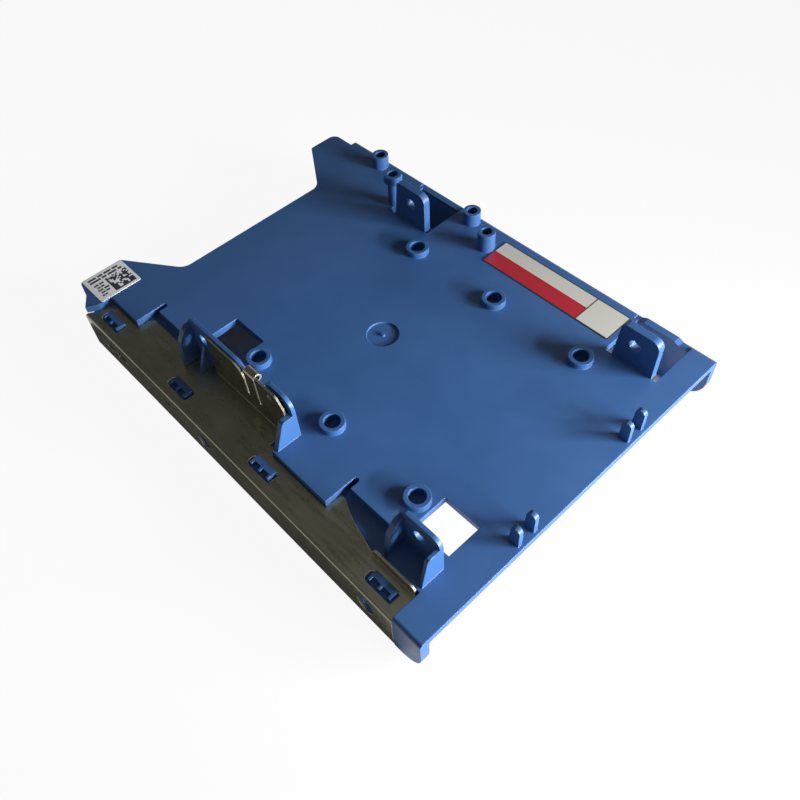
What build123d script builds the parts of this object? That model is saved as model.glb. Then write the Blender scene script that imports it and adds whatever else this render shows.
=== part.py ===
from build123d import *
import os

# Hard drive caddy: a moulded tray with the outline of a 3.5-inch drive. Four upright tabs
# hold one 2.5-inch drive by its side screw holes, and a folded steel rail clips along one side.
# Millimetres. X runs across, from the steel rail at -X to the free side at +X.
# Y runs along, from the front edge at -Y to the two ears at +Y. Z = 0 is the foot of the skirts.

# Tray envelope
TRAY_WIDTH = 101.6
TRAY_LENGTH = 141.0
TRAY_HEIGHT = 14.0
PLATE_THICK = 2.0
SKIRT_THICK = 2.0
SKIRT_FOOT_RADIUS = 7.0
EDGE_RADIUS = 1.0
INNER_RADIUS = 0.8

# The 2.5-inch drive, its side screw holes and its room
DRIVE_WIDTH = 69.85
DRIVE_FIT = 0.075
DRIVE_HOLE_PITCH = 76.6
DRIVE_HOLE_RISE = 7.0
DRIVE_HOLE_RADIUS = 1.65
FRONT_HOLE_INSET = 14.4

# Ears at the back, and the notch between them for the plugs
EAR_LENGTH = 16.5
EAR_NOTCH_LEFT = 29.0
EAR_NOTCH_RIGHT = 23.5
EAR_SLANT = 0.68
NOTCH_RADIUS = 4.0
EAR_RADIUS = 1.2
RAIL_EAR_STEP = 4.8
RAIL_EAR_BEND = 3.4
FREE_EAR_STEP = 2.4
FREE_EAR_LENGTH = 8.2
FREE_EAR_RADIUS = 2.4
SKIRT_BACK_INSET = 10.8

# Tabs; the two on the free side each as front and back reach from the screw hole
TAB_THICK = 2.1
TAB_RISE = 11.8
TAB_RADIUS = 2.4
FREE_TABS = ((6.2, 5.6), (5.4, 6.8))
RAIL_TAB_THICK = 1.0
RAIL_TAB_PLAY = 0.5
RAIL_TAB_SHOULDER = 10.4
RAIL_TAB_BACK = 5.8
RAIL_TAB_LONG = 18.0
RAIL_TAB_SHORT = 5.9
LONG_TAB_RADIUS = 4.2
GUSSET_THICK = 1.5
GUSSET_REACH = 5.1
GUSSET_WAIST_REACH = 4.2
GUSSET_WAIST_RISE = 6.4
GUSSET_TOP_REACH = 1.9
GUSSET_TOP = 9.8
GUSSET_RADIUS = 2.0
TAB_RIB_WIDTH = 1.0
TAB_RIB_RISE = 5.3
TAB_RIB_FOOT = 3.7
TAB_RIB_TOP = 0.7

# Straight flanks of the backing wall and the short tab's front: foot reach, top reach and rise
WALL_FLANK = (6.0, 3.0, 8.1)
SHORT_TAB_FLANK = (5.4, 3.4, 9.2)
FLANK_RADIUS = 1.0
THIN_FLANK = 0.9

# Windows through the plate beside the tabs, each as front and back reach from its screw hole
RIM_WIDTH = 2.1
FREE_WINDOWS = ((7.6, 7.5), (6.1, 9.3))
RAIL_WINDOWS = ((4.7, 5.7), (5.1, 6.6))
RAIL_WINDOW_INSET = 2.2
RAIL_WINDOW_WIDTH = 9.6
RIM_STEP = 0.5
RIM_STEP_TAIL = 1.3
RIM_BOSS_RISE = 0.6
RIM_BOSS_LENGTH = 12.0
RIM_BOSS_STEP = -1.2
RIM_BOSS_TAPER = 1.4

# Rings, posts, fins and the gate mark on the plate
RING_OUTER = 3.15
RING_BORE = 2.1
RING_RISE = 1.8
RING_SPREAD = 28.0
RING_PITCH = 28.7
POST_OUTER = 2.5
POST_BORE = 1.5
BORE_FLOOR = 0.8
EDGE_POST_INSET = 3.2
EDGE_POST_RISE = 4.0
BACK_POST_STEP = 26.8
MIDDLE_POST_STEP = -12.0
INNER_POST_INSET = 8.4
INNER_POST_RISE = 5.7
INNER_POST_STEP = -22.3
TALL_POST_OFFSET = 0.9
TALL_POST_STEP = 10.45
TALL_POST_RISE = 10.5
TALL_POST_OUTER = 2.7
TALL_POST_HEAD = 2.2
TALL_POST_NECK = 1.0
TALL_POST_STEM = 1.7
FIN_THICK = 1.2
FIN_LENGTH = 2.4
FIN_FOOT = 0.3
FIN_RISE = 6.1
FIN_MIDDLE = 0.5
FIN_SPREAD = 18.6
FIN_GAP = 3.7
FIN_RADIUS = 1.1
FIN_INSET = 0.9
GATE_RADIUS = 4.25
GATE_DEPTH = 0.45
GATE_PIN_RADIUS = 0.55
GATE_STEP = -25.5

# Steel rail
SHEET = 0.5
RAIL_DROP = 2.1
RAIL_WIDTH = 7.9
RAIL_FRONT_INSET = 8.4
RAIL_BACK_INSET = 9.3
RAIL_BACK_SLANT = 2.3
RAIL_FOOT_GAP = 0.4
RAIL_FIT = 0.15
BEND_RADIUS = 1.0
BEND_INSIDE = 0.5
SHELF_THICK = 1.8
SHELF_LAP = 1.6
BACK_CLIP_INSET = 8.55
TAB_CLIP_STEP = -0.45
WALL_CLIP_STEP = 0.45
FRONT_CLIP_INSET = 7.15
CLIP_LENGTH = 8.4
CLIP_WIDTH = 2.9
CLIP_INSET = 2.6
CLIP_GAP = 0.5
CLIP_BACK_GAP = 1.1
CLIP_RISE = 0.8
CLIP_SPINE = 0.8
CLIP_TOOTH = 0.7
CLIP_POCKET = 1.6
CLIP_LIP = 0.3
CLIP_HOLE_RADIUS = 1.2
LIP_RISE = 3.0
LIP_LENGTH = 12.9
LIP_FRONT_GAP = 0.6
LIP_RADIUS = 1.6

# Notches that let the steel reach inwards beside each rail-side tab, and their narrow slots
BACK_NOTCH_INSET = 15.05
FRONT_NOTCH_STEP = 23.75
FRONT_NOTCH_LENGTH = 15.0
FRONT_NOTCH_KNEE = 6.7
KNEE_WIDTH = 2.2
NOTCH_WIDTH = 4.7
NOTCH_SLOT_WIDTH = 1.4
NOTCH_SLOT_INSET = 1.5

# Steel floor and uprights beside the long tab
BAND_RISE = 2.6
UPRIGHT_RISE = 12.8
UPRIGHT_LENGTH = 10.0
UPRIGHT_CUT = (2.2, 3.1)
UPRIGHT_RADIUS = 1.6
UPRIGHT_HOLE = 0.7
UPRIGHT_HOLE_DROP = 2.3
FACING_RISE = 11.4
FACING_LENGTH = 14.8
WALL_THICK = 1.0
WALL_RISE = 13.0
WALL_LENGTH = 9.0
WALL_STEP = -34.95
WALL_RADIUS = 3.2
FINGER_WIDTH = 3.9
FINGER_RISE = 11.2
FINGER_GAP = 0.7
CURL_RADIUS = 1.2
RELIEF_LENGTH = 2.8
RELIEF_WIDTH = 3.0
RELIEF_INSET = 0.6

# Screw holes of the 3.5-inch side pattern
SIDE_HOLE_RISE = 6.35
SIDE_HOLE_RADIUS = 1.8
SIDE_HOLE_INSET = 16.9
SIDE_HOLE_PITCH = 60.0
SIDE_HOLE_SPAN = 101.6
RAIL_HOLE_RADIUS = 2.6
BACK_SLOT_INSETS = (10.0, 16.2)
TAB_SLOT_STEP = 2.6
RAIL_SLOT_LENGTH = 3.8
RAIL_SLOT_HEIGHT = 2.0

# Stiffening ribs under the plate
RIB_THICK = 1.4
RIB_DEPTH = 2.0
FRONT_RIB_STEP = 28.1
MIDDLE_RIB_STEP = -17.3
BACK_RIB_INSET = 3.8
LONG_RIB_SPREAD = 14.0

# Labels
LABEL_THICK = 0.12
LABEL_RADIUS = 0.5
EAR_LABEL = (12.7, 11.0)
EAR_LABEL_INSET = 5.1
EAR_LABEL_BACK = 0.3
TWO_TONE_LABEL = (10.0, 42.6)
TWO_TONE_INSET = 8.0
TWO_TONE_BACK = 2.75

# Places worked out from the sizes above
HALF_WIDTH = TRAY_WIDTH / 2
HALF_LENGTH = TRAY_LENGTH / 2
PLATE_TOP = TRAY_HEIGHT
PLATE_FOOT = PLATE_TOP - PLATE_THICK
TAB_FACE = DRIVE_WIDTH / 2 + DRIVE_FIT
TAB_BACKSIDE = TAB_FACE + TAB_THICK
RAIL_TAB_INSIDE = -TAB_FACE - RAIL_TAB_PLAY
RAIL_TAB_FACE = RAIL_TAB_INSIDE - RAIL_TAB_THICK
RIM_FACE = HALF_WIDTH - RIM_WIDTH
FRONT_HOLE_Y = -HALF_LENGTH + FRONT_HOLE_INSET
BACK_HOLE_Y = FRONT_HOLE_Y + DRIVE_HOLE_PITCH
HOLE_Z = PLATE_TOP + DRIVE_HOLE_RISE
RING_MIDDLE_Y = (FRONT_HOLE_Y + BACK_HOLE_Y) / 2
INNER_POST_Y = BACK_HOLE_Y + INNER_POST_STEP
GATE_Y = BACK_HOLE_Y + GATE_STEP
NOTCH_Y = HALF_LENGTH - EAR_LENGTH
SHEET_TOP = PLATE_TOP - RAIL_DROP
SHEET_FOOT = SHEET_TOP - SHEET
SHELF_FOOT = SHEET_FOOT - SHELF_THICK
RAIL_FACE = -HALF_WIDTH
RAIL_BACKSIDE = RAIL_FACE + SHEET
RAIL_EDGE = RAIL_FACE + RAIL_WIDTH
RAIL_FRONT = -HALF_LENGTH + RAIL_FRONT_INSET
RAIL_BACK = HALF_LENGTH - RAIL_BACK_INSET
LONG_TAB_BACK = BACK_HOLE_Y + RAIL_TAB_BACK
LONG_TAB_FRONT = BACK_HOLE_Y - RAIL_TAB_LONG
SHORT_TAB_BACK = FRONT_HOLE_Y + RAIL_TAB_BACK
WALL_FRONT_Y = BACK_HOLE_Y + WALL_STEP
WALL_FACE = -TAB_FACE - WALL_THICK
FLOOR_EDGE = RAIL_TAB_FACE - RAIL_FIT
FLOOR_FRONT = WALL_FRONT_Y + GUSSET_THICK + RAIL_FIT
BACK_NOTCH_WALL = RAIL_BACK - BACK_NOTCH_INSET
FRONT_NOTCH_WALL = FRONT_HOLE_Y + FRONT_NOTCH_STEP
NOTCH_EDGE = RAIL_EDGE + NOTCH_WIDTH
NOTCH_SLOT_END = -TAB_FACE + NOTCH_SLOT_INSET
FRONT_SIDE_HOLE_Y = -HALF_LENGTH + SIDE_HOLE_INSET
CLIP_Y = (
    RAIL_BACK - BACK_CLIP_INSET,
    BACK_HOLE_Y + TAB_CLIP_STEP,
    WALL_FRONT_Y + WALL_CLIP_STEP,
    RAIL_FRONT + FRONT_CLIP_INSET,
)
CROSS_RIB_Y = (
    FRONT_HOLE_Y + FRONT_RIB_STEP,
    BACK_HOLE_Y + MIDDLE_RIB_STEP,
    NOTCH_Y - BACK_RIB_INSET,
)


def block(x, y, z):
    """A box between two places on each axis."""
    size = (x[1] - x[0], y[1] - y[0], z[1] - z[0])
    return Pos((x[0] + x[1]) / 2, (y[0] + y[1]) / 2, (z[0] + z[1]) / 2) * Box(*size)


def rounded_face(corners):
    """A closed flat face through corners given as (x, y) or (x, y, radius)."""
    face = make_face(Polyline([corner[:2] for corner in corners], close=True))
    for corner in corners:
        if len(corner) == 3:
            near = face.vertices().sort_by_distance((corner[0], corner[1], 0))[0]
            face = fillet(near, corner[2])
    return face


def plan_prism(corners, z):
    """A plan outline given thickness from z[0] to z[1]."""
    return extrude(Plane.XY.offset(z[0]) * rounded_face(corners), z[1] - z[0])


def side_prism(corners, x):
    """An outline of (y, z) corners, given thickness from x[0] to x[1]."""
    return extrude(Plane.YZ.offset(x[0]) * rounded_face(corners), x[1] - x[0])


def end_prism(corners, y):
    """An outline of (x, z) corners, given thickness from y[0] to y[1]."""
    return extrude(Plane.XZ.offset(-y[1]) * rounded_face(corners), y[1] - y[0])


def tube(x, y, z, outer):
    """An upright cylinder at (x, y) from z[0] to z[1]."""
    height = z[1] - z[0]
    return Pos(x, y, z[0] + height / 2) * Cylinder(outer, height)


def cross_hole(x, y, z, radius):
    """A round cutter along X, from x[0] to x[1]."""
    length = x[1] - x[0]
    return Pos((x[0] + x[1]) / 2, y, z) * Rot(0, 90, 0) * Cylinder(radius, length)


def plate_outline():
    """Plan of the plate with its two ears, counter-clockwise from the front left."""
    run = EAR_LENGTH * EAR_SLANT
    rail_ear = -HALF_WIDTH + RAIL_EAR_STEP
    free_ear = HALF_WIDTH - FREE_EAR_STEP
    bend_y = HALF_LENGTH - SKIRT_BACK_INSET + RAIL_EAR_BEND * 1.5
    return [
        (-HALF_WIDTH, -HALF_LENGTH),
        (HALF_WIDTH, -HALF_LENGTH),
        (HALF_WIDTH, HALF_LENGTH - FREE_EAR_LENGTH, EAR_RADIUS),
        (free_ear, HALF_LENGTH - FREE_EAR_LENGTH),
        (free_ear, HALF_LENGTH, FREE_EAR_RADIUS),
        (HALF_WIDTH - EAR_NOTCH_RIGHT + run, HALF_LENGTH, EAR_RADIUS),
        (HALF_WIDTH - EAR_NOTCH_RIGHT, NOTCH_Y, NOTCH_RADIUS),
        (-HALF_WIDTH + EAR_NOTCH_LEFT, NOTCH_Y, NOTCH_RADIUS),
        (-HALF_WIDTH + EAR_NOTCH_LEFT - run, HALF_LENGTH, EAR_RADIUS),
        (rail_ear, HALF_LENGTH, EAR_RADIUS),
        (-HALF_WIDTH + RAIL_EAR_BEND, bend_y, EAR_RADIUS),
        (-HALF_WIDTH, HALF_LENGTH - SKIRT_BACK_INSET, EAR_RADIUS),
    ]


def shell():
    """Plate and both skirts: one section run along Y, then trimmed in plan and from the side."""
    rail_inside = -HALF_WIDTH + SHEET + SKIRT_THICK
    free_inside = HALF_WIDTH - SKIRT_THICK
    section = [
        (-HALF_WIDTH, 0),
        (-HALF_WIDTH, PLATE_TOP, EDGE_RADIUS),
        (HALF_WIDTH, PLATE_TOP, EDGE_RADIUS),
        (HALF_WIDTH, 0),
        (free_inside, 0),
        (free_inside, PLATE_FOOT, INNER_RADIUS),
        (rail_inside, PLATE_FOOT, INNER_RADIUS),
        (rail_inside, 0),
    ]
    skirt_back = HALF_LENGTH - SKIRT_BACK_INSET
    side = [
        (-HALF_LENGTH, 0, SKIRT_FOOT_RADIUS),
        (-HALF_LENGTH, PLATE_TOP),
        (HALF_LENGTH, PLATE_TOP),
        (HALF_LENGTH, PLATE_FOOT),
        (skirt_back, PLATE_FOOT),
        (skirt_back, 0, SKIRT_FOOT_RADIUS),
    ]
    solid = end_prism(section, (-HALF_LENGTH, HALF_LENGTH))
    solid &= plan_prism(plate_outline(), (0, PLATE_TOP))
    return solid & side_prism(side, (-HALF_WIDTH, HALF_WIDTH))


def rail_shelf():
    """Lowered floor under the rail and under its inward parts."""
    z = (SHELF_FOOT, PLATE_FOOT)
    outside = -HALF_WIDTH + SHEET + SKIRT_THICK / 2
    strip_y = (RAIL_FRONT - SHELF_LAP, RAIL_BACK - EAR_RADIUS)
    back_y = (FLOOR_FRONT - SHELF_LAP, BACK_NOTCH_WALL + SHELF_LAP)
    front_y = (SHORT_TAB_BACK - GUSSET_THICK - SHELF_LAP, FRONT_NOTCH_WALL + SHELF_LAP)
    return [
        block((outside, RAIL_EDGE + SHELF_LAP), strip_y, z),
        block((outside, NOTCH_SLOT_END + SHELF_LAP), back_y, z),
        block((outside, NOTCH_SLOT_END + SHELF_LAP), front_y, z),
    ]


def stiffening_ribs():
    """Cross ribs between the skirts and two long ribs, under the plate."""
    rib_z = (PLATE_FOOT - RIB_DEPTH, PLATE_FOOT)
    inside = HALF_WIDTH - SKIRT_THICK
    front = -HALF_LENGTH + RIB_THICK
    ribs = []
    for y in CROSS_RIB_Y:
        ribs.append(block((-inside, inside), (y - RIB_THICK / 2, y + RIB_THICK / 2), rib_z))
    for side in (-1, 1):
        x = side * LONG_RIB_SPREAD
        across = (x - RIB_THICK / 2, x + RIB_THICK / 2)
        ribs.append(block(across, (front, CROSS_RIB_Y[-1]), rib_z))
    return ribs


def gusset(wall, y):
    """A flank from the rail side of a tab down to the shelf, between two places in y."""
    corners = [
        (wall, SHEET_FOOT - SHELF_THICK / 2),
        (wall - GUSSET_REACH, SHEET_FOOT - SHELF_THICK / 2),
        (wall - GUSSET_REACH, PLATE_TOP),
        (wall - GUSSET_WAIST_REACH, PLATE_TOP + GUSSET_WAIST_RISE, GUSSET_RADIUS),
        (wall - GUSSET_TOP_REACH, PLATE_TOP + GUSSET_TOP, GUSSET_RADIUS),
        (wall, PLATE_TOP + GUSSET_TOP),
    ]
    return end_prism(corners, y)


def flank(wall, shape, y):
    """A straight-sided flank on the rail side of a wall, between two places in y."""
    foot_reach, top_reach, rise = shape
    foot = SHEET_FOOT - SHELF_THICK / 2
    corners = [
        (wall, foot),
        (wall - foot_reach, foot),
        (wall - foot_reach, PLATE_TOP),
        (wall - top_reach, PLATE_TOP + rise, FLANK_RADIUS),
        (wall, PLATE_TOP + rise),
    ]
    return end_prism(corners, y)


def screw_tab(front, back, front_radius):
    """A rail-side tab between two places in y, with its shoulder and flank at the back."""
    shoulder = back - GUSSET_THICK
    corners = [
        (front, SHELF_FOOT),
        (front, PLATE_TOP + TAB_RISE, front_radius),
        (shoulder, PLATE_TOP + TAB_RISE, TAB_RADIUS / 4),
        (back, PLATE_TOP + RAIL_TAB_SHOULDER, TAB_RADIUS / 4),
        (back, SHELF_FOOT),
    ]
    solid = side_prism(corners, (RAIL_TAB_FACE, RAIL_TAB_INSIDE))
    return solid + gusset(RAIL_TAB_FACE, (shoulder, back))


def tab_hole(side, y):
    """Cutter of the drive screw hole in a tab; side is -1 at the rail and 1 at the free side."""
    x = sorted((side * (TAB_FACE - 1), side * (TAB_BACKSIDE + 1)))
    return cross_hole(x, y, HOLE_Z, DRIVE_HOLE_RADIUS)


def long_tab():
    """Back tab on the rail side, with the tapered rib under its screw hole."""
    solid = screw_tab(LONG_TAB_FRONT, LONG_TAB_BACK, LONG_TAB_RADIUS)
    foot = SHEET_TOP + RAIL_FIT
    top = PLATE_TOP + TAB_RIB_RISE
    corners = [
        (RAIL_TAB_FACE, foot),
        (RAIL_TAB_FACE - TAB_RIB_FOOT, foot),
        (RAIL_TAB_FACE - TAB_RIB_TOP, top),
        (RAIL_TAB_FACE, top),
    ]
    solid += end_prism(corners, (BACK_HOLE_Y - TAB_RIB_WIDTH / 2, BACK_HOLE_Y + TAB_RIB_WIDTH / 2))
    return solid - tab_hole(-1, BACK_HOLE_Y)


def short_tab():
    """Front tab on the rail side, with a flank at each end."""
    front = FRONT_HOLE_Y - RAIL_TAB_SHORT
    solid = screw_tab(front, SHORT_TAB_BACK, TAB_RADIUS)
    solid += flank(RAIL_TAB_FACE, SHORT_TAB_FLANK, (front, front + THIN_FLANK))
    return solid - tab_hole(-1, FRONT_HOLE_Y)


def free_tab(hole_y, reach):
    """A plain tab on the free side, with its front and back reach from its screw hole."""
    front = hole_y - reach[0]
    back = hole_y + reach[1]
    corners = [
        (front, PLATE_FOOT),
        (front, PLATE_TOP + TAB_RISE, TAB_RADIUS),
        (back - TAB_RADIUS / 2, PLATE_TOP + TAB_RISE, TAB_RADIUS / 2),
        (back, PLATE_FOOT),
    ]
    return side_prism(corners, (TAB_FACE, TAB_BACKSIDE)) - tab_hole(1, hole_y)


def backing_wall():
    """Low wall that backs the steel upright, with a flank at its front end."""
    back = WALL_FRONT_Y + WALL_LENGTH
    corners = [
        (WALL_FRONT_Y, SHELF_FOOT),
        (WALL_FRONT_Y, PLATE_TOP + WALL_RISE, WALL_RADIUS),
        (back, PLATE_TOP + WALL_RISE, TAB_RADIUS / 2),
        (back, SHELF_FOOT),
    ]
    wall = side_prism(corners, (WALL_FACE, -TAB_FACE))
    return wall + flank(WALL_FACE, WALL_FLANK, (WALL_FRONT_Y, WALL_FRONT_Y + GUSSET_THICK))


def ring_places():
    """Centres of the six low rings, in two rows under the drive."""
    steps = (-RING_PITCH, 0, RING_PITCH)
    return [(side * RING_SPREAD, RING_MIDDLE_Y + step) for side in (-1, 1) for step in steps]


def rings():
    """The six low rings."""
    z = (PLATE_TOP - EDGE_RADIUS, PLATE_TOP + RING_RISE)
    return [tube(*place, z, RING_OUTER) for place in ring_places()]


def ring_bores():
    """Cutters of the blind bores in the rings."""
    z = (PLATE_FOOT + BORE_FLOOR, PLATE_TOP + RING_RISE + 1)
    return [tube(*place, z, RING_BORE) for place in ring_places()]


def post_places():
    """Centre and rise of each of the three plain hollow posts."""
    edge_x = HALF_WIDTH - EDGE_POST_INSET
    places = [(edge_x, BACK_HOLE_Y + step, EDGE_POST_RISE) for step in (BACK_POST_STEP, MIDDLE_POST_STEP)]
    places.append((HALF_WIDTH - INNER_POST_INSET, INNER_POST_Y, INNER_POST_RISE))
    return places


def tall_post():
    """Ring head on a slim stem, beside the back tab on the free side."""
    x = TAB_BACKSIDE + TALL_POST_OFFSET
    y = BACK_HOLE_Y + TALL_POST_STEP
    top = PLATE_TOP + TALL_POST_RISE
    head = top - TALL_POST_HEAD
    neck = head - TALL_POST_NECK
    solid = tube(x, y, (head, top), TALL_POST_OUTER)
    cone = Cone(TALL_POST_STEM, TALL_POST_OUTER, TALL_POST_NECK)
    solid += Pos(x, y, neck + TALL_POST_NECK / 2) * cone
    solid += tube(x, y, (PLATE_FOOT, neck + TALL_POST_NECK / 2), TALL_POST_STEM)
    return solid - tube(x, y, (head, top + 1), POST_BORE)


def fins():
    """Two pairs of upright fins on the front edge, which stop the drive."""
    front = -HALF_LENGTH + FIN_INSET
    top = PLATE_TOP + FIN_RISE
    corners = [
        (front, PLATE_FOOT),
        (front, top, FIN_RADIUS),
        (front + FIN_LENGTH, top, FIN_RADIUS),
        (front + FIN_LENGTH + FIN_FOOT, PLATE_TOP),
        (front + FIN_LENGTH + FIN_FOOT, PLATE_FOOT),
    ]
    solids = []
    for pair in (-1, 1):
        for side in (-1, 1):
            near = FIN_MIDDLE + pair * FIN_SPREAD + side * FIN_GAP / 2
            solids.append(side_prism(corners, sorted((near, near + side * FIN_THICK))))
    return solids


def free_windows():
    """Cutters of the two windows outside the tabs on the free side, and of the rim beside them."""
    solids = []
    x = (TAB_FACE, RIM_FACE)
    for hole_y, reach in zip((FRONT_HOLE_Y, BACK_HOLE_Y), FREE_WINDOWS):
        y = (hole_y - reach[0], hole_y + reach[1])
        rim_y = (y[0], y[1] + RIM_STEP_TAIL)
        solids.append(block(x, y, (PLATE_FOOT - 1, PLATE_TOP + 1)))
        solids.append(block((x[1], HALF_WIDTH + 1), rim_y, (PLATE_TOP - RIM_STEP, PLATE_TOP + 1)))
    return solids


def rail_windows():
    """Cutters of the two windows inside the tabs on the rail side."""
    solids = []
    near = -TAB_FACE + RAIL_WINDOW_INSET
    for hole_y, reach in zip((FRONT_HOLE_Y, BACK_HOLE_Y), RAIL_WINDOWS):
        y = (hole_y - reach[0], hole_y + reach[1])
        solids.append(block((near, near + RAIL_WINDOW_WIDTH), y, (SHELF_FOOT - 1, PLATE_TOP + 1)))
    return solids


def rail_plan(gap):
    """Plan of the rail's top sheet, grown by a gap on the sides that meet the tray."""
    edge = RAIL_EDGE + gap
    notch = NOTCH_EDGE - RAIL_FIT + gap
    flange_back = RAIL_BACK - RAIL_BACK_SLANT + gap
    front_wall = FRONT_NOTCH_WALL - RAIL_FIT + gap
    back_wall = BACK_NOTCH_WALL - RAIL_FIT + gap
    return [
        (RAIL_FACE, RAIL_FRONT - gap),
        (edge, RAIL_FRONT - gap),
        (edge, FRONT_NOTCH_WALL - FRONT_NOTCH_LENGTH),
        (edge + KNEE_WIDTH, FRONT_NOTCH_WALL - FRONT_NOTCH_KNEE),
        (notch, FRONT_NOTCH_WALL - NOTCH_SLOT_WIDTH),
        (notch, front_wall),
        (edge, front_wall),
        (edge, FLOOR_FRONT - gap),
        (FLOOR_EDGE, FLOOR_FRONT - gap),
        (FLOOR_EDGE, LONG_TAB_BACK + RAIL_FIT),
        (notch, LONG_TAB_BACK + RAIL_FIT),
        (notch, back_wall),
        (edge, back_wall),
        (edge, flange_back),
        (RAIL_FACE + RAIL_WIDTH / 2, flange_back),
        (RAIL_FACE, RAIL_BACK + gap),
    ]


def notch_slot(wall, z):
    """Narrow slot with a round end, which runs on along the back wall of a notch."""
    radius = NOTCH_SLOT_WIDTH / 2 - 0.01
    corners = [
        (RAIL_EDGE, wall - NOTCH_SLOT_WIDTH),
        (NOTCH_SLOT_END, wall - NOTCH_SLOT_WIDTH, radius),
        (NOTCH_SLOT_END, wall, radius),
        (RAIL_EDGE, wall),
    ]
    return plan_prism(corners, z)


def rail_recess():
    """Cutters that let the rail into the top and the side of the tray."""
    z = (SHEET_FOOT, PLATE_TOP + 1)
    long_x = (RAIL_EDGE, WALL_FACE)
    bend = [
        (RAIL_BACKSIDE, SHEET_FOOT),
        (RAIL_BACKSIDE + 2 * BEND_INSIDE, SHEET_FOOT),
        (RAIL_BACKSIDE, SHEET_FOOT - 2 * BEND_INSIDE),
    ]
    return [
        end_prism(bend, (RAIL_FRONT - RAIL_FIT, HALF_LENGTH)),
        plan_prism(rail_plan(RAIL_FIT), z),
        block((RAIL_FACE - 1, RAIL_BACKSIDE), (RAIL_FRONT - RAIL_FIT, HALF_LENGTH), (-1, z[1])),
        block(long_x, (FLOOR_FRONT - RAIL_FIT, LONG_TAB_BACK), z),
        block((RAIL_EDGE, RAIL_TAB_FACE), (SHORT_TAB_BACK - GUSSET_THICK, FRONT_NOTCH_WALL), z),
        block((RAIL_EDGE, RAIL_TAB_FACE), (LONG_TAB_BACK - GUSSET_THICK, BACK_NOTCH_WALL), z),
        notch_slot(FRONT_NOTCH_WALL, z),
        notch_slot(BACK_NOTCH_WALL, z),
    ]


def clip(y):
    """One clip: a spine and three teeth that stand in a window of the rail."""
    front = y - CLIP_LENGTH / 2 + CLIP_GAP
    back = y + CLIP_LENGTH / 2 - CLIP_BACK_GAP
    x = (RAIL_EDGE - CLIP_INSET - CLIP_WIDTH + CLIP_GAP, RAIL_EDGE - CLIP_INSET - CLIP_GAP)
    top = SHEET_TOP + CLIP_RISE
    solid = block(x, (front, back), (SHEET_FOOT - EDGE_RADIUS, top))
    lip_x = (x[1] - CLIP_SPINE, x[1] + CLIP_GAP + CLIP_LIP)
    solid += block(lip_x, (front, back), (SHEET_TOP, top))
    pocket = (back - front - 3 * CLIP_TOOTH) / 2
    cut_x = (x[0] - 1, x[1] - CLIP_SPINE)
    for start in (front + CLIP_TOOTH, back - CLIP_TOOTH - pocket):
        solid -= block(cut_x, (start, start + pocket), (top - CLIP_POCKET, top + 1))
    return solid


def side_hole_places():
    """Places along Y of the screw holes in the side pattern."""
    last = FRONT_SIDE_HOLE_Y + SIDE_HOLE_SPAN
    return (FRONT_SIDE_HOLE_Y, FRONT_SIDE_HOLE_Y + SIDE_HOLE_PITCH, last)


def rim_boss():
    """Raised pad on the free rim, over the front screw hole of the side pattern."""
    middle = FRONT_SIDE_HOLE_Y + RIM_BOSS_STEP
    foot = (middle - RIM_BOSS_LENGTH / 2, middle + RIM_BOSS_LENGTH / 2)
    rim = PLATE_TOP - RIM_STEP
    top = rim + RIM_BOSS_RISE
    corners = [
        (foot[0], PLATE_FOOT),
        (foot[0], rim),
        (foot[0] + RIM_BOSS_TAPER, top),
        (foot[1] - RIM_BOSS_TAPER, top),
        (foot[1], rim),
        (foot[1], PLATE_FOOT),
    ]
    return side_prism(corners, (RIM_FACE, HALF_WIDTH))


def tray():
    """The whole moulding."""
    solid = shell()
    for piece in rail_shelf() + stiffening_ribs():
        solid += piece
    for cutter in rail_recess() + free_windows() + rail_windows():
        solid -= cutter
    for piece in rings() + fins() + [clip(y) for y in CLIP_Y]:
        solid += piece
    solid += long_tab()
    solid += short_tab()
    solid += backing_wall()
    for hole_y, reach in zip((FRONT_HOLE_Y, BACK_HOLE_Y), FREE_TABS):
        solid += free_tab(hole_y, reach)
    solid += rim_boss()
    solid += tall_post()
    for x, y, rise in post_places():
        solid += tube(x, y, (PLATE_FOOT, PLATE_TOP + rise), POST_OUTER)
        solid -= tube(x, y, (PLATE_FOOT + BORE_FLOOR, PLATE_TOP + rise + 1), POST_BORE)
    for cutter in ring_bores():
        solid -= cutter
    solid -= tube(0, GATE_Y, (PLATE_TOP - GATE_DEPTH, PLATE_TOP + 1), GATE_RADIUS)
    solid += tube(0, GATE_Y, (PLATE_FOOT, PLATE_TOP), GATE_PIN_RADIUS)
    for y in side_hole_places():
        free_x = (HALF_WIDTH - SKIRT_THICK - 1, HALF_WIDTH + 1)
        solid -= cross_hole(free_x, y, SIDE_HOLE_RISE, SIDE_HOLE_RADIUS)
    for y in side_hole_places()[:2]:
        rail_x = (RAIL_FACE, RAIL_BACKSIDE + SKIRT_THICK + 1)
        solid -= cross_hole(rail_x, y, SIDE_HOLE_RISE, SIDE_HOLE_RADIUS)
    return solid


def band():
    """Low upstand along the steel floor, from which the upright, finger and facing rise."""
    y = (FLOOR_FRONT, LONG_TAB_FRONT + RAIL_FIT + FACING_LENGTH)
    return block((FLOOR_EDGE - SHEET, FLOOR_EDGE), y, (SHEET_FOOT, PLATE_TOP + BAND_RISE))


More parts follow.
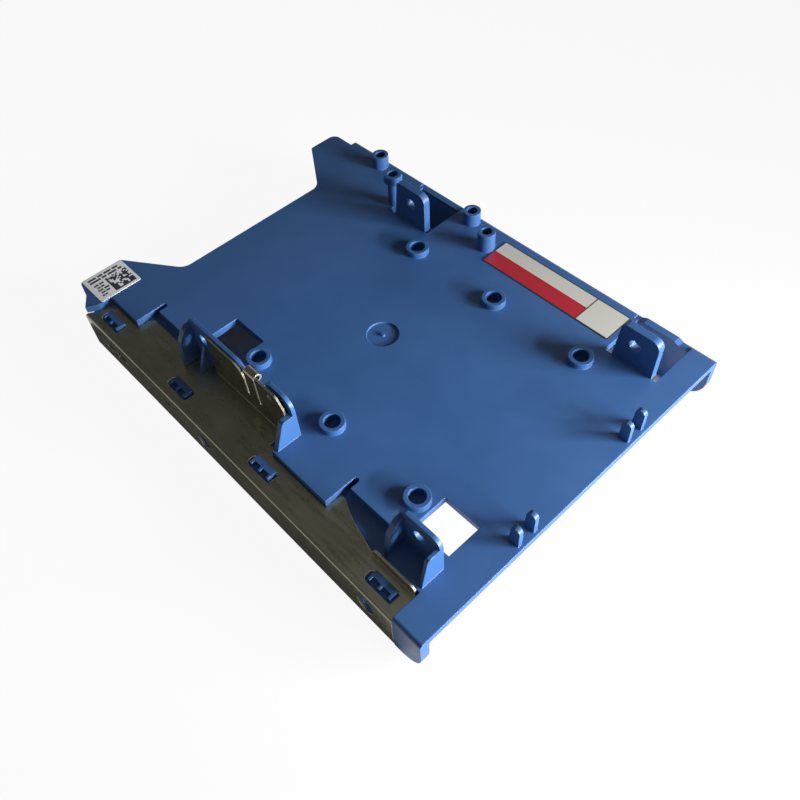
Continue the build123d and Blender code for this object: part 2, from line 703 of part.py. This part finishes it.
def upright():
    """Steel upright beside the backing wall, with a cut corner and a pin hole."""
    x = (FLOOR_EDGE - SHEET, FLOOR_EDGE)
    back = FLOOR_FRONT + UPRIGHT_LENGTH
    top = PLATE_TOP + UPRIGHT_RISE
    corners = [
        (FLOOR_FRONT, SHEET_FOOT),
        (FLOOR_FRONT, top - UPRIGHT_CUT[1], UPRIGHT_RADIUS),
        (FLOOR_FRONT + UPRIGHT_CUT[0], top, UPRIGHT_RADIUS),
        (back, top),
        (back, SHEET_FOOT),
    ]
    hole_y = (FLOOR_FRONT + back) / 2
    solid = side_prism(corners, x)
    return solid - cross_hole((x[0] - 1, x[1] + 1), hole_y, top - UPRIGHT_HOLE_DROP, UPRIGHT_HOLE)


def facing():
    """Steel upright that lies on the outer face of the long tab, in front of its screw hole."""
    x = (FLOOR_EDGE - SHEET, FLOOR_EDGE)
    front = LONG_TAB_FRONT + RAIL_FIT
    top = PLATE_TOP + FACING_RISE
    corners = [
        (front, SHEET_FOOT),
        (front, top, LONG_TAB_RADIUS),
        (front + FACING_LENGTH, top),
        (front + FACING_LENGTH, SHEET_FOOT),
    ]
    return side_prism(corners, x)


def contact_finger():
    """Spring finger between the upright and the facing, rolled over towards the drive."""
    back = LONG_TAB_FRONT - FINGER_GAP
    y = (back - FINGER_WIDTH, back)
    x = (FLOOR_EDGE - SHEET, FLOOR_EDGE)
    top = PLATE_TOP + FINGER_RISE
    ring = Cylinder(CURL_RADIUS, FINGER_WIDTH) - Cylinder(CURL_RADIUS - SHEET, FINGER_WIDTH)
    curl = Pos(x[0] + CURL_RADIUS, (y[0] + y[1]) / 2, top) * Rot(90, 0, 0) * ring
    curl -= block((x[0] - 1, x[0] + CURL_RADIUS), y, (top - 2 * CURL_RADIUS, top))
    return block(x, y, (SHEET_FOOT, top)) + curl


def rail_lip():
    """Short upstand on the inner edge of the rail, beside the short tab."""
    y0 = RAIL_FRONT + LIP_FRONT_GAP
    y1 = y0 + LIP_LENGTH
    top = SHEET_TOP + LIP_RISE
    corners = [(y0, SHEET_FOOT), (y0, top, LIP_RADIUS), (y1, top, LIP_RADIUS), (y1, SHEET_FOOT)]
    return side_prism(corners, (RAIL_EDGE - SHEET, RAIL_EDGE))


def clip_hole(y, z):
    """Cutter of the hole round a clip, with rounded corners at its back end."""
    x = (RAIL_EDGE - CLIP_INSET - CLIP_WIDTH, RAIL_EDGE - CLIP_INSET)
    front = y - CLIP_LENGTH / 2
    back = y + CLIP_LENGTH / 2
    corners = [
        (x[0], front),
        (x[1], front),
        (x[1], back, CLIP_HOLE_RADIUS),
        (x[0], back, CLIP_HOLE_RADIUS),
    ]
    return plan_prism(corners, z)


def side_rail():
    """The whole folded sheet."""
    bent = end_prism(
        [
            (RAIL_FACE, RAIL_FOOT_GAP),
            (RAIL_FACE, SHEET_TOP, BEND_RADIUS),
            (FLOOR_EDGE, SHEET_TOP),
            (FLOOR_EDGE, SHEET_FOOT),
            (RAIL_BACKSIDE, SHEET_FOOT, BEND_INSIDE),
            (RAIL_BACKSIDE, RAIL_FOOT_GAP),
        ],
        (RAIL_FRONT, RAIL_BACK),
    )
    top = bent & plan_prism(rail_plan(0), (0, PLATE_TOP))
    solid = top + band() + upright() + facing() + contact_finger() + rail_lip()
    sheet_z = (SHEET_FOOT - 1, SHEET_TOP + 1)
    for y in CLIP_Y:
        solid -= clip_hole(y, sheet_z)
    flank_x = (RAIL_TAB_FACE - GUSSET_REACH - RAIL_FIT, RAIL_TAB_FACE)
    flank_y = (LONG_TAB_BACK - GUSSET_THICK - RAIL_FIT, LONG_TAB_BACK + RAIL_FIT)
    solid -= block(flank_x, flank_y, sheet_z)
    relief_x = WALL_FACE - WALL_FLANK[0] + RELIEF_INSET
    relief_y = (FLOOR_FRONT - 1, FLOOR_FRONT + RELIEF_LENGTH)
    solid -= block((relief_x, relief_x + RELIEF_WIDTH), relief_y, sheet_z)
    hole_x = (RAIL_FACE - 1, RAIL_BACKSIDE + 1)
    for y in side_hole_places()[:2]:
        solid -= cross_hole(hole_x, y, SIDE_HOLE_RISE, RAIL_HOLE_RADIUS)
    slot_z = (SIDE_HOLE_RISE - RAIL_SLOT_HEIGHT / 2, SIDE_HOLE_RISE + RAIL_SLOT_HEIGHT / 2)
    slots = [RAIL_BACK - inset for inset in BACK_SLOT_INSETS] + [BACK_HOLE_Y + TAB_SLOT_STEP]
    for y in slots:
        slot_y = (y - RAIL_SLOT_LENGTH / 2, y + RAIL_SLOT_LENGTH / 2)
        solid -= block(hole_x, slot_y, slot_z)
    return solid


def label(size, centre):
    """A thin label with rounded corners, lying on the plate."""
    face = Pos(*centre, PLATE_TOP) * RectangleRounded(*size, LABEL_RADIUS)
    return extrude(face, LABEL_THICK)


def ear_label():
    """White label on the rail-side ear."""
    x = -HALF_WIDTH + EAR_LABEL_INSET + EAR_LABEL[0] / 2
    y = HALF_LENGTH - EAR_LABEL_BACK - EAR_LABEL[1] / 2
    return label(EAR_LABEL, (x, y))


def two_tone_label():
    """Long two-coloured label beside the free rim."""
    x = HALF_WIDTH - TWO_TONE_INSET
    y = INNER_POST_Y - TWO_TONE_BACK - TWO_TONE_LABEL[1] / 2
    return label(TWO_TONE_LABEL, (x, y))


PARTS = {
    "tray": tray,
    "side_rail": side_rail,
    "ear_label": ear_label,
    "two_tone_label": two_tone_label,
}

os.makedirs("parts", exist_ok=True)
for name, make in PARTS.items():
    export_step(make(), f"parts/{name}.step")
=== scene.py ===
import math
import random
import bmesh
import bpy
from mathutils import Matrix, Vector


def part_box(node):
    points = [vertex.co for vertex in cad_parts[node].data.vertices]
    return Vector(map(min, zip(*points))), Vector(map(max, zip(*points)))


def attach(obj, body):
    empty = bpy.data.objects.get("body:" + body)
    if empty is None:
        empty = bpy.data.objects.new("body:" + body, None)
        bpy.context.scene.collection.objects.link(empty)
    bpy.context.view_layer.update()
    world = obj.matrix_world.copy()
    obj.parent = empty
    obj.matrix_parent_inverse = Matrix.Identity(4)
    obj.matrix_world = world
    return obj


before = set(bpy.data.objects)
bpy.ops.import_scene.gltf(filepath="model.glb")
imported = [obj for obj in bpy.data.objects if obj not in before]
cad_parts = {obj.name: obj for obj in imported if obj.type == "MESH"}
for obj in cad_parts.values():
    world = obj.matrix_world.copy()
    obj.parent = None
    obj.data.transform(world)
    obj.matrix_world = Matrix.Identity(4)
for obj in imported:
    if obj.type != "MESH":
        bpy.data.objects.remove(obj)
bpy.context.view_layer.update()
MM = 0.001


# Camera at the photograph's viewing angle; lengths in millimetres
AZIMUTH = math.radians(-38.955)
ELEVATION = math.radians(52.515)
ROLL = math.radians(-5.301)
DISTANCE = 192.206
TARGET = Vector((-13.071, -22.263, 14.0))
FOCAL_PX = 796.356
CENTRE_PX = (391.673, 400.071)
IMAGE_PX = 800.0
SENSOR = 36.0

# Light; lengths in metres
WORLD_LIGHT = 0.05
CARD_SHADE = (0.10, 0.10, 0.11, 1)
CARD_GLOW = 0.10

# Floor paper, with boxes in plan and millimetres round the tray
FLOOR_REACH = 1.5
FLOOR_Z = -0.0002
FLOOR_SHADE = (0.9, 0.9, 0.9, 1)
FLOOR_WHITE = 0.93
UNDER_TRAY = ((-46.0, -62.0), (56.0, 56.0))
UNDER_WINDOW = ((-31.0, -60.0), (-13.0, -38.0))
BESIDE_TRAY = ((-75.0, -80.0), (56.0, 70.0))

# Colours, with the dark and the light end where there is a faint cloud
BLUE = ((0.029, 0.094, 0.255), (0.038, 0.112, 0.295))
# Lighter blue painted along the plastic's rounded edges as a highlight
BLUE_EDGE_HIGHLIGHT = (0.075, 0.19, 0.45)
STEEL = ((0.225, 0.222, 0.160), (0.295, 0.290, 0.215))
# Pale colour painted along the steel's rounded edges as a highlight
STEEL_EDGE_HIGHLIGHT = (0.82, 0.81, 0.74)
LABEL_WHITE = ((0.87, 0.885, 0.92), (0.91, 0.92, 0.95))
INK = ((0.012, 0.012, 0.014), (0.03, 0.03, 0.034))

# Two-coloured label
OUTLINE = (0.03, 0.03, 0.035)
RED_FIELD = (0.40, 0.018, 0.030)
PALE_FIELD = (0.56, 0.55, 0.50)
OUTLINE_WIDTH = 0.35
SQUARE_LENGTH = 10.2
RED_SHIFT = 0.2

# Marks on the white label
MARK_LIFT = 0.00001
WIDE_ROWS = ((2.6, 1.6, 2.2, 1.8), (3.4, 1.4, 2.8, 1.2))
WIDE_BACK = 1.3
WIDE_LEFT = 1.2
WIDE_PITCH = 1.25
WIDE_HALF = 0.36
WIDE_GAP = 0.45
NARROW_ROWS = (3.0, 2.2, 3.4, 2.6, 1.6)
NARROW_BACK = 4.3
NARROW_LEFT = 1.5
NARROW_SHIFT = 0.35
NARROW_PITCH = 1.2
NARROW_HALF = 0.32
NARROW_BREAK = (0.45, 0.55)
FIELD_SIDE = 6.6
FIELD_COUNT = 12
FIELD_RIGHT = 0.8
FIELD_FRONT = 0.9
FIELD_SHARE = 0.52
FIELD_SEED = 4


def set_camera():
    back = Vector((
        math.sin(AZIMUTH) * math.cos(ELEVATION),
        -math.cos(AZIMUTH) * math.cos(ELEVATION),
        math.sin(ELEVATION),
    ))
    right = Vector((math.cos(AZIMUTH), math.sin(AZIMUTH), 0))
    down = right.cross(back)
    turned_right = right * math.cos(ROLL) - down * math.sin(ROLL)
    turned_down = right * math.sin(ROLL) + down * math.cos(ROLL)
    place = Matrix((turned_right, -turned_down, back)).transposed().to_4x4()
    place.translation = (TARGET + back * DISTANCE) * MM
    data = bpy.data.cameras.new("camera")
    data.sensor_width = SENSOR
    data.lens = SENSOR * FOCAL_PX / IMAGE_PX
    data.shift_x = (IMAGE_PX / 2 - CENTRE_PX[0]) / IMAGE_PX
    data.shift_y = (CENTRE_PX[1] - IMAGE_PX / 2) / IMAGE_PX
    data.clip_start = 0.01
    camera = bpy.data.objects.new("camera", data)
    camera.matrix_world = place
    bpy.context.scene.collection.objects.link(camera)
    bpy.context.scene.camera = camera


set_camera()
bpy.context.scene.view_settings.view_transform = "Standard"


# Light: a low window from the front right, a low strip in front and a white surround
def math_node(tree, operation, first, second):
    """A maths node on two values, each a socket or a number."""
    node = tree.nodes.new("ShaderNodeMath")
    node.operation = operation
    for socket, value in zip(node.inputs, (first, second)):
        if isinstance(value, (int, float)):
            socket.default_value = value
        else:
            tree.links.new(value, socket)
    return node.outputs[0]


def mirror_share(tree, path):
    """1 on glossy and transmission rays, and 0 on all others."""
    return math_node(tree, "MAXIMUM", path.outputs["Is Glossy Ray"], path.outputs["Is Transmission Ray"])


def set_world(light):
    """White to the camera and in mirrors, and a plain dim light on the object."""
    world = bpy.data.worlds.new("surround")
    world.use_nodes = True
    tree = world.node_tree
    backdrop = tree.nodes["Background"]
    path = tree.nodes.new("ShaderNodeLightPath")
    share = math_node(tree, "MAXIMUM", path.outputs["Is Camera Ray"], mirror_share(tree, path))
    tree.links.new(map_range(tree, share, 0.0, 1.0, light, 1.0), backdrop.inputs["Strength"])
    backdrop.inputs["Color"].default_value = (1, 1, 1, 1)
    bpy.context.scene.world = world


def add_lamp(name, place, target, size, power, spread):
    data = bpy.data.lights.new(name, "AREA")
    data.shape = "RECTANGLE"
    data.size, data.size_y = size
    data.energy = power
    data.spread = math.radians(spread)
    lamp = bpy.data.objects.new(name, data)
    lamp.location = place
    towards = Vector(target) - Vector(place)
    lamp.rotation_euler = towards.to_track_quat("-Z", "Y").to_euler()
    bpy.context.scene.collection.objects.link(lamp)


# Materials
def new_material(name, roughness, metallic=0.0):
    material = bpy.data.materials.new(name)
    material.use_nodes = True
    tree = material.node_tree
    shader = tree.nodes["Principled BSDF"]
    shader.inputs["Roughness"].default_value = roughness
    shader.inputs["Metallic"].default_value = metallic
    return material, tree, shader


def place_mm(tree):
    """Object coordinates in millimetres."""
    coordinates = tree.nodes.new("ShaderNodeTexCoord")
    scale = tree.nodes.new("ShaderNodeVectorMath")
    scale.operation = "SCALE"
    scale.inputs["Scale"].default_value = 1 / MM
    tree.links.new(coordinates.outputs["Object"], scale.inputs[0])
    return scale.outputs[0]


def noise(tree, place, scale, detail=3.0, stretch=(1, 1, 1)):
    mapping = tree.nodes.new("ShaderNodeMapping")
    mapping.inputs["Scale"].default_value = stretch
    texture = tree.nodes.new("ShaderNodeTexNoise")
    texture.inputs["Scale"].default_value = scale
    texture.inputs["Detail"].default_value = detail
    tree.links.new(place, mapping.inputs["Vector"])
    tree.links.new(mapping.outputs[0], texture.inputs["Vector"])
    return texture.outputs["Fac"]


def cloud(tree, value, colours):
    """A faint cloud between two colours, along the middle of a noise."""
    node = tree.nodes.new("ShaderNodeValToRGB")
    for element, position, colour in zip(node.color_ramp.elements, (0.3, 0.7), colours):
        element.position = position
        element.color = (*colour, 1)
    tree.links.new(value, node.inputs[0])
    return node.outputs[0]


def map_range(tree, value, low, high, to_low, to_high):
    node = tree.nodes.new("ShaderNodeMapRange")
    node.inputs["From Min"].default_value = low
    node.inputs["From Max"].default_value = high
    node.inputs["To Min"].default_value = to_low
    node.inputs["To Max"].default_value = to_high
    tree.links.new(value, node.inputs["Value"])
    return node.outputs[0]


def mix_colour(tree, share, first, second):
    """The first colour where the share is 0, and the second where it is 1."""
    node = tree.nodes.new("ShaderNodeMix")
    node.data_type = "RGBA"
    tree.links.new(share, node.inputs["Factor"])
    for index, value in ((6, first), (7, second)):
        if isinstance(value, tuple):
            node.inputs[index].default_value = (*value, 1)
        else:
            tree.links.new(value, node.inputs[index])
    return node.outputs[2]


def rounded_normal(tree, radius_mm):
    node = tree.nodes.new("ShaderNodeBevel")
    node.samples = 4
    node.inputs["Radius"].default_value = radius_mm * MM
    return node.outputs[0]


def bump(tree, height, strength, distance_mm, normal=None):
    node = tree.nodes.new("ShaderNodeBump")
    node.inputs["Strength"].default_value = strength
    node.inputs["Distance"].default_value = distance_mm * MM
    tree.links.new(height, node.inputs["Height"])
    if normal is not None:
        tree.links.new(normal, node.inputs["Normal"])
    return node.outputs[0]


def edge_share(tree, normal):
    """1 where a rounded edge turns away from the face, and 0 on the flat."""
    geometry = tree.nodes.new("ShaderNodeNewGeometry")
    dot = tree.nodes.new("ShaderNodeVectorMath")
    dot.operation = "DOT_PRODUCT"
    tree.links.new(normal, dot.inputs[0])
    tree.links.new(geometry.outputs["True Normal"], dot.inputs[1])
    return map_range(tree, dot.outputs["Value"], 0.995, 0.85, 0.0, 1.0)


def sheared_share(tree):
    """1 on the cut ends of the sheet, which look along Y, and 0 on its rolled faces."""
    geometry = tree.nodes.new("ShaderNodeNewGeometry")
    split = tree.nodes.new("ShaderNodeSeparateXYZ")
    tree.links.new(geometry.outputs["True Normal"], split.inputs[0])
    return map_range(tree, math_node(tree, "ABSOLUTE", split.outputs["Y"], 0.0), 0.2, 0.4, 0.0, 1.0)


def inside(tree, place, low, high):
    """1 inside a rectangle in plan, and 0 outside it."""
    split = tree.nodes.new("ShaderNodeSeparateXYZ")
    tree.links.new(place, split.inputs[0])
    share = 1.0
    for axis in (0, 1):
        above = math_node(tree, "GREATER_THAN", split.outputs[axis], low[axis])
        below = math_node(tree, "LESS_THAN", split.outputs[axis], high[axis])
        both = math_node(tree, "MULTIPLY", above, below)
        share = math_node(tree, "MULTIPLY", share, both)
    return share


def add_sheet(name, corners, material):
    mesh = bpy.data.meshes.new(name)
    mesh.from_pydata(corners, [], [(0, 1, 2, 3)])
    mesh.materials.append(material)
    sheet = bpy.data.objects.new(name, mesh)
    bpy.context.scene.collection.objects.link(sheet)


def floor_paper():
    """Pale paper that shows white, and keeps the object's own shadow under and beside it."""
    material, tree, shader = new_material("floor_paper", 0.9)
    shader.inputs["Base Color"].default_value = FLOOR_SHADE
    place = place_mm(tree)
    path = tree.nodes.new("ShaderNodeLightPath")
    clear = math_node(tree, "SUBTRACT", 1.0, inside(tree, place, *UNDER_WINDOW))
    shaded = math_node(tree, "MULTIPLY", inside(tree, place, *UNDER_TRAY), clear)
    seen = math_node(tree, "SUBTRACT", path.outputs["Is Camera Ray"], shaded)
    mirrored = math_node(tree, "SUBTRACT", mirror_share(tree, path), inside(tree, place, *BESIDE_TRAY))
    share = math_node(tree, "MULTIPLY", math_node(tree, "MAXIMUM", seen, mirrored), FLOOR_WHITE)
    white = tree.nodes.new("ShaderNodeEmission")
    mix = tree.nodes.new("ShaderNodeMixShader")
    tree.links.new(math_node(tree, "MAXIMUM", share, 0.0), mix.inputs[0])
    tree.links.new(shader.outputs[0], mix.inputs[1])
    tree.links.new(white.outputs[0], mix.inputs[2])
    tree.links.new(mix.outputs[0], tree.nodes["Material Output"].inputs[0])
    return material


def dim_card():
    """A dim card over the far side or the left, which the steel and the plastic mirror."""
    material, tree, shader = new_material("dim_card", 0.9)
    shader.inputs["Base Color"].default_value = CARD_SHADE
    shader.inputs["Emission Color"].default_value = (1, 1, 1, 1)
    shader.inputs["Emission Strength"].default_value = CARD_GLOW
    return material


set_world(WORLD_LIGHT)
add_lamp(
    "window",
    place=(0.170, -0.300, 0.125),
    target=(-0.050, -0.018, 0.01),
    size=(0.10, 0.08),
    power=0.225,
    spread=62,
)
add_lamp(
    "strip",
    place=(0.10, -0.42, 0.088),
    target=(-0.015, -0.045, 0.02),
    size=(0.20, 0.02),
    power=0.42,
    spread=60,
)
turns = ((-1, -1), (1, -1), (1, 1), (-1, 1))
add_sheet("floor", [(x * FLOOR_REACH, y * FLOOR_REACH, FLOOR_Z) for x, y in turns], floor_paper())
card = dim_card()
add_sheet("far_card", [(-1.0, 0.2, 1.3), (1.4, 0.2, 1.3), (1.4, 1.5, 0.25), (-1.0, 1.5, 0.25)], card)
add_sheet("left_card", [(-1.0, 0.2, 1.3), (-1.0, 1.5, 0.25), (-1.4, 0.9, 0.10), (-1.4, -0.3, 0.10)], card)


def blue_plastic():
    """Satin moulded plastic with a fine grain, and a painted highlight of lighter blue along the rounded
    edges.
    """
    material, tree, shader = new_material("blue_plastic", 0.42)
    place = place_mm(tree)
    rounded = rounded_normal(tree, 0.25)
    colour = cloud(tree, noise(tree, place, 0.035), BLUE)
    # Painted highlight: the rounded edges are mixed towards a lighter blue
    edge_highlighted = mix_colour(tree, edge_share(tree, rounded), colour, BLUE_EDGE_HIGHLIGHT)
    tree.links.new(edge_highlighted, shader.inputs["Base Color"])
    grain = noise(tree, place, 3.2, 2.0)
    roughness = map_range(tree, noise(tree, place, 0.2), 0.3, 0.7, 0.38, 0.48)
    tree.links.new(roughness, shader.inputs["Roughness"])
    normal = bump(tree, grain, 0.10, 0.05, rounded)
    tree.links.new(normal, shader.inputs["Normal"])
    return material


def rail_steel():
    """Dark rolled steel with streaks along Y, a painted highlight of pale colour along the edges, and
    rougher cut ends.
    """
    material, tree, shader = new_material("rail_steel", 0.3, 1.0)
    place = place_mm(tree)
    rounded = rounded_normal(tree, 0.18)
    colour = cloud(tree, noise(tree, place, 0.09), STEEL)
    # Painted highlight: the rounded edges are mixed towards a pale colour
    edge_highlighted = mix_colour(tree, edge_share(tree, rounded), colour, STEEL_EDGE_HIGHLIGHT)
    tree.links.new(edge_highlighted, shader.inputs["Base Color"])
    streaks = noise(tree, place, 1.0, 4.0, (1.0, 0.08, 1.0))
    rolled = map_range(tree, streaks, 0.3, 0.7, 0.24, 0.36)
    cut = math_node(tree, "MULTIPLY", sheared_share(tree), 0.36)
    tree.links.new(math_node(tree, "ADD", rolled, cut), shader.inputs["Roughness"])
    normal = bump(tree, streaks, 0.06, 0.03, rounded)
    tree.links.new(normal, shader.inputs["Normal"])
    return material


def label_white():
    """White paper with a faint texture."""
    material, tree, shader = new_material("white_label", 0.5)
    place = place_mm(tree)
    tree.links.new(cloud(tree, noise(tree, place, 0.6), LABEL_WHITE), shader.inputs["Base Color"])
    tree.links.new(bump(tree, noise(tree, place, 2.5), 0.08, 0.05), shader.inputs["Normal"])
    return material


def two_tone(low, high):
    """Dark outline, with a red field, a pale field and a pale square at the front end."""
    material, tree, shader = new_material("two_tone_paper", 0.35)
    place = place_mm(tree)
    left, right = low[0] + OUTLINE_WIDTH, high[0] - OUTLINE_WIDTH
    front, back = low[1] + OUTLINE_WIDTH, high[1] - OUTLINE_WIDTH
    square_end = low[1] + SQUARE_LENGTH
    middle = (low[0] + high[0]) / 2 + RED_SHIFT
    fields = [
        ((left, square_end + OUTLINE_WIDTH), (middle, back), RED_FIELD),
        ((middle, square_end + OUTLINE_WIDTH), (right, back), PALE_FIELD),
        ((left, front), (right, square_end), PALE_FIELD),
    ]
    colour = OUTLINE
    for corner, opposite, shade in fields:
        colour = mix_colour(tree, inside(tree, place, corner, opposite), colour, shade)
    tree.links.new(colour, shader.inputs["Base Color"])
    tree.links.new(bump(tree, noise(tree, place, 1.5), 0.05, 0.05), shader.inputs["Normal"])
    return material


def label_ink():
    """Matt black print."""
    material, tree, shader = new_material("label_ink", 0.6)
    tree.links.new(cloud(tree, noise(tree, place_mm(tree), 3.0), INK), shader.inputs["Base Color"])
    return material


def dress(node, material):
    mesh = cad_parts[node].data
    mesh.materials.clear()
    mesh.materials.append(material)


def plan_mm(node):
    """Low and high corner of a node in plan, in millimetres."""
    low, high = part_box(node)
    return (low.x / MM, low.y / MM), (high.x / MM, high.y / MM)


dress("tray", blue_plastic())
dress("side_rail", rail_steel())
dress("ear_label", label_white())
dress("two_tone_label", two_tone(*plan_mm("two_tone_label")))


# Generic marks on the white label, each as (x0, y0, x1, y1) in millimetres
def wide_bars(low, high):
    """Two rows of bars along the back of the label."""
    bars = []
    for row, lengths in enumerate(WIDE_ROWS):
        y = high[1] - WIDE_BACK - WIDE_PITCH * row
        x = low[0] + WIDE_LEFT
        for length in lengths:
            bars.append((x, y - WIDE_HALF, x + length, y + WIDE_HALF))
            x += length + WIDE_GAP
    return bars


def narrow_bars(low, high):
    """Five short rows at the left, each broken in two."""
    bars = []
    for row, length in enumerate(NARROW_ROWS):
        y = high[1] - NARROW_BACK - NARROW_PITCH * row
        x = low[0] + NARROW_LEFT + NARROW_SHIFT * (row % 2)
        bars.append((x, y - NARROW_HALF, x + length * NARROW_BREAK[0], y + NARROW_HALF))
        bars.append((x + length * NARROW_BREAK[1], y - NARROW_HALF, x + length, y + NARROW_HALF))
    return bars


def field_blocks(low, high):
    """A square field of small blocks, whole along its left and front edges."""
    choices = random.Random(FIELD_SEED)
    cell = FIELD_SIDE / FIELD_COUNT
    left = high[0] - FIELD_SIDE - FIELD_RIGHT
    front = low[1] + FIELD_FRONT
    blocks = []
    for i in range(FIELD_COUNT):
        for j in range(FIELD_COUNT):
            if i == 0 or j == 0 or choices.random() < FIELD_SHARE:
                x = left + i * cell
                y = front + j * cell
                blocks.append((x, y, x + cell, y + cell))
    return blocks


def add_marks():
    low, high = plan_mm("ear_label")
    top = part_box("ear_label")[1].z + MARK_LIFT
    mesh = bpy.data.meshes.new("ear_label_marks")
    form = bmesh.new()
    for x0, y0, x1, y1 in wide_bars(low, high) + narrow_bars(low, high) + field_blocks(low, high):
        corners = ((x0, y0), (x1, y0), (x1, y1), (x0, y1))
        form.faces.new([form.verts.new((x * MM, y * MM, top)) for x, y in corners])
    form.to_mesh(mesh)
    form.free()
    mesh.materials.append(label_ink())
    marks = bpy.data.objects.new("ear_label_marks", mesh)
    bpy.context.scene.collection.objects.link(marks)
    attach(marks, "root")


add_marks()
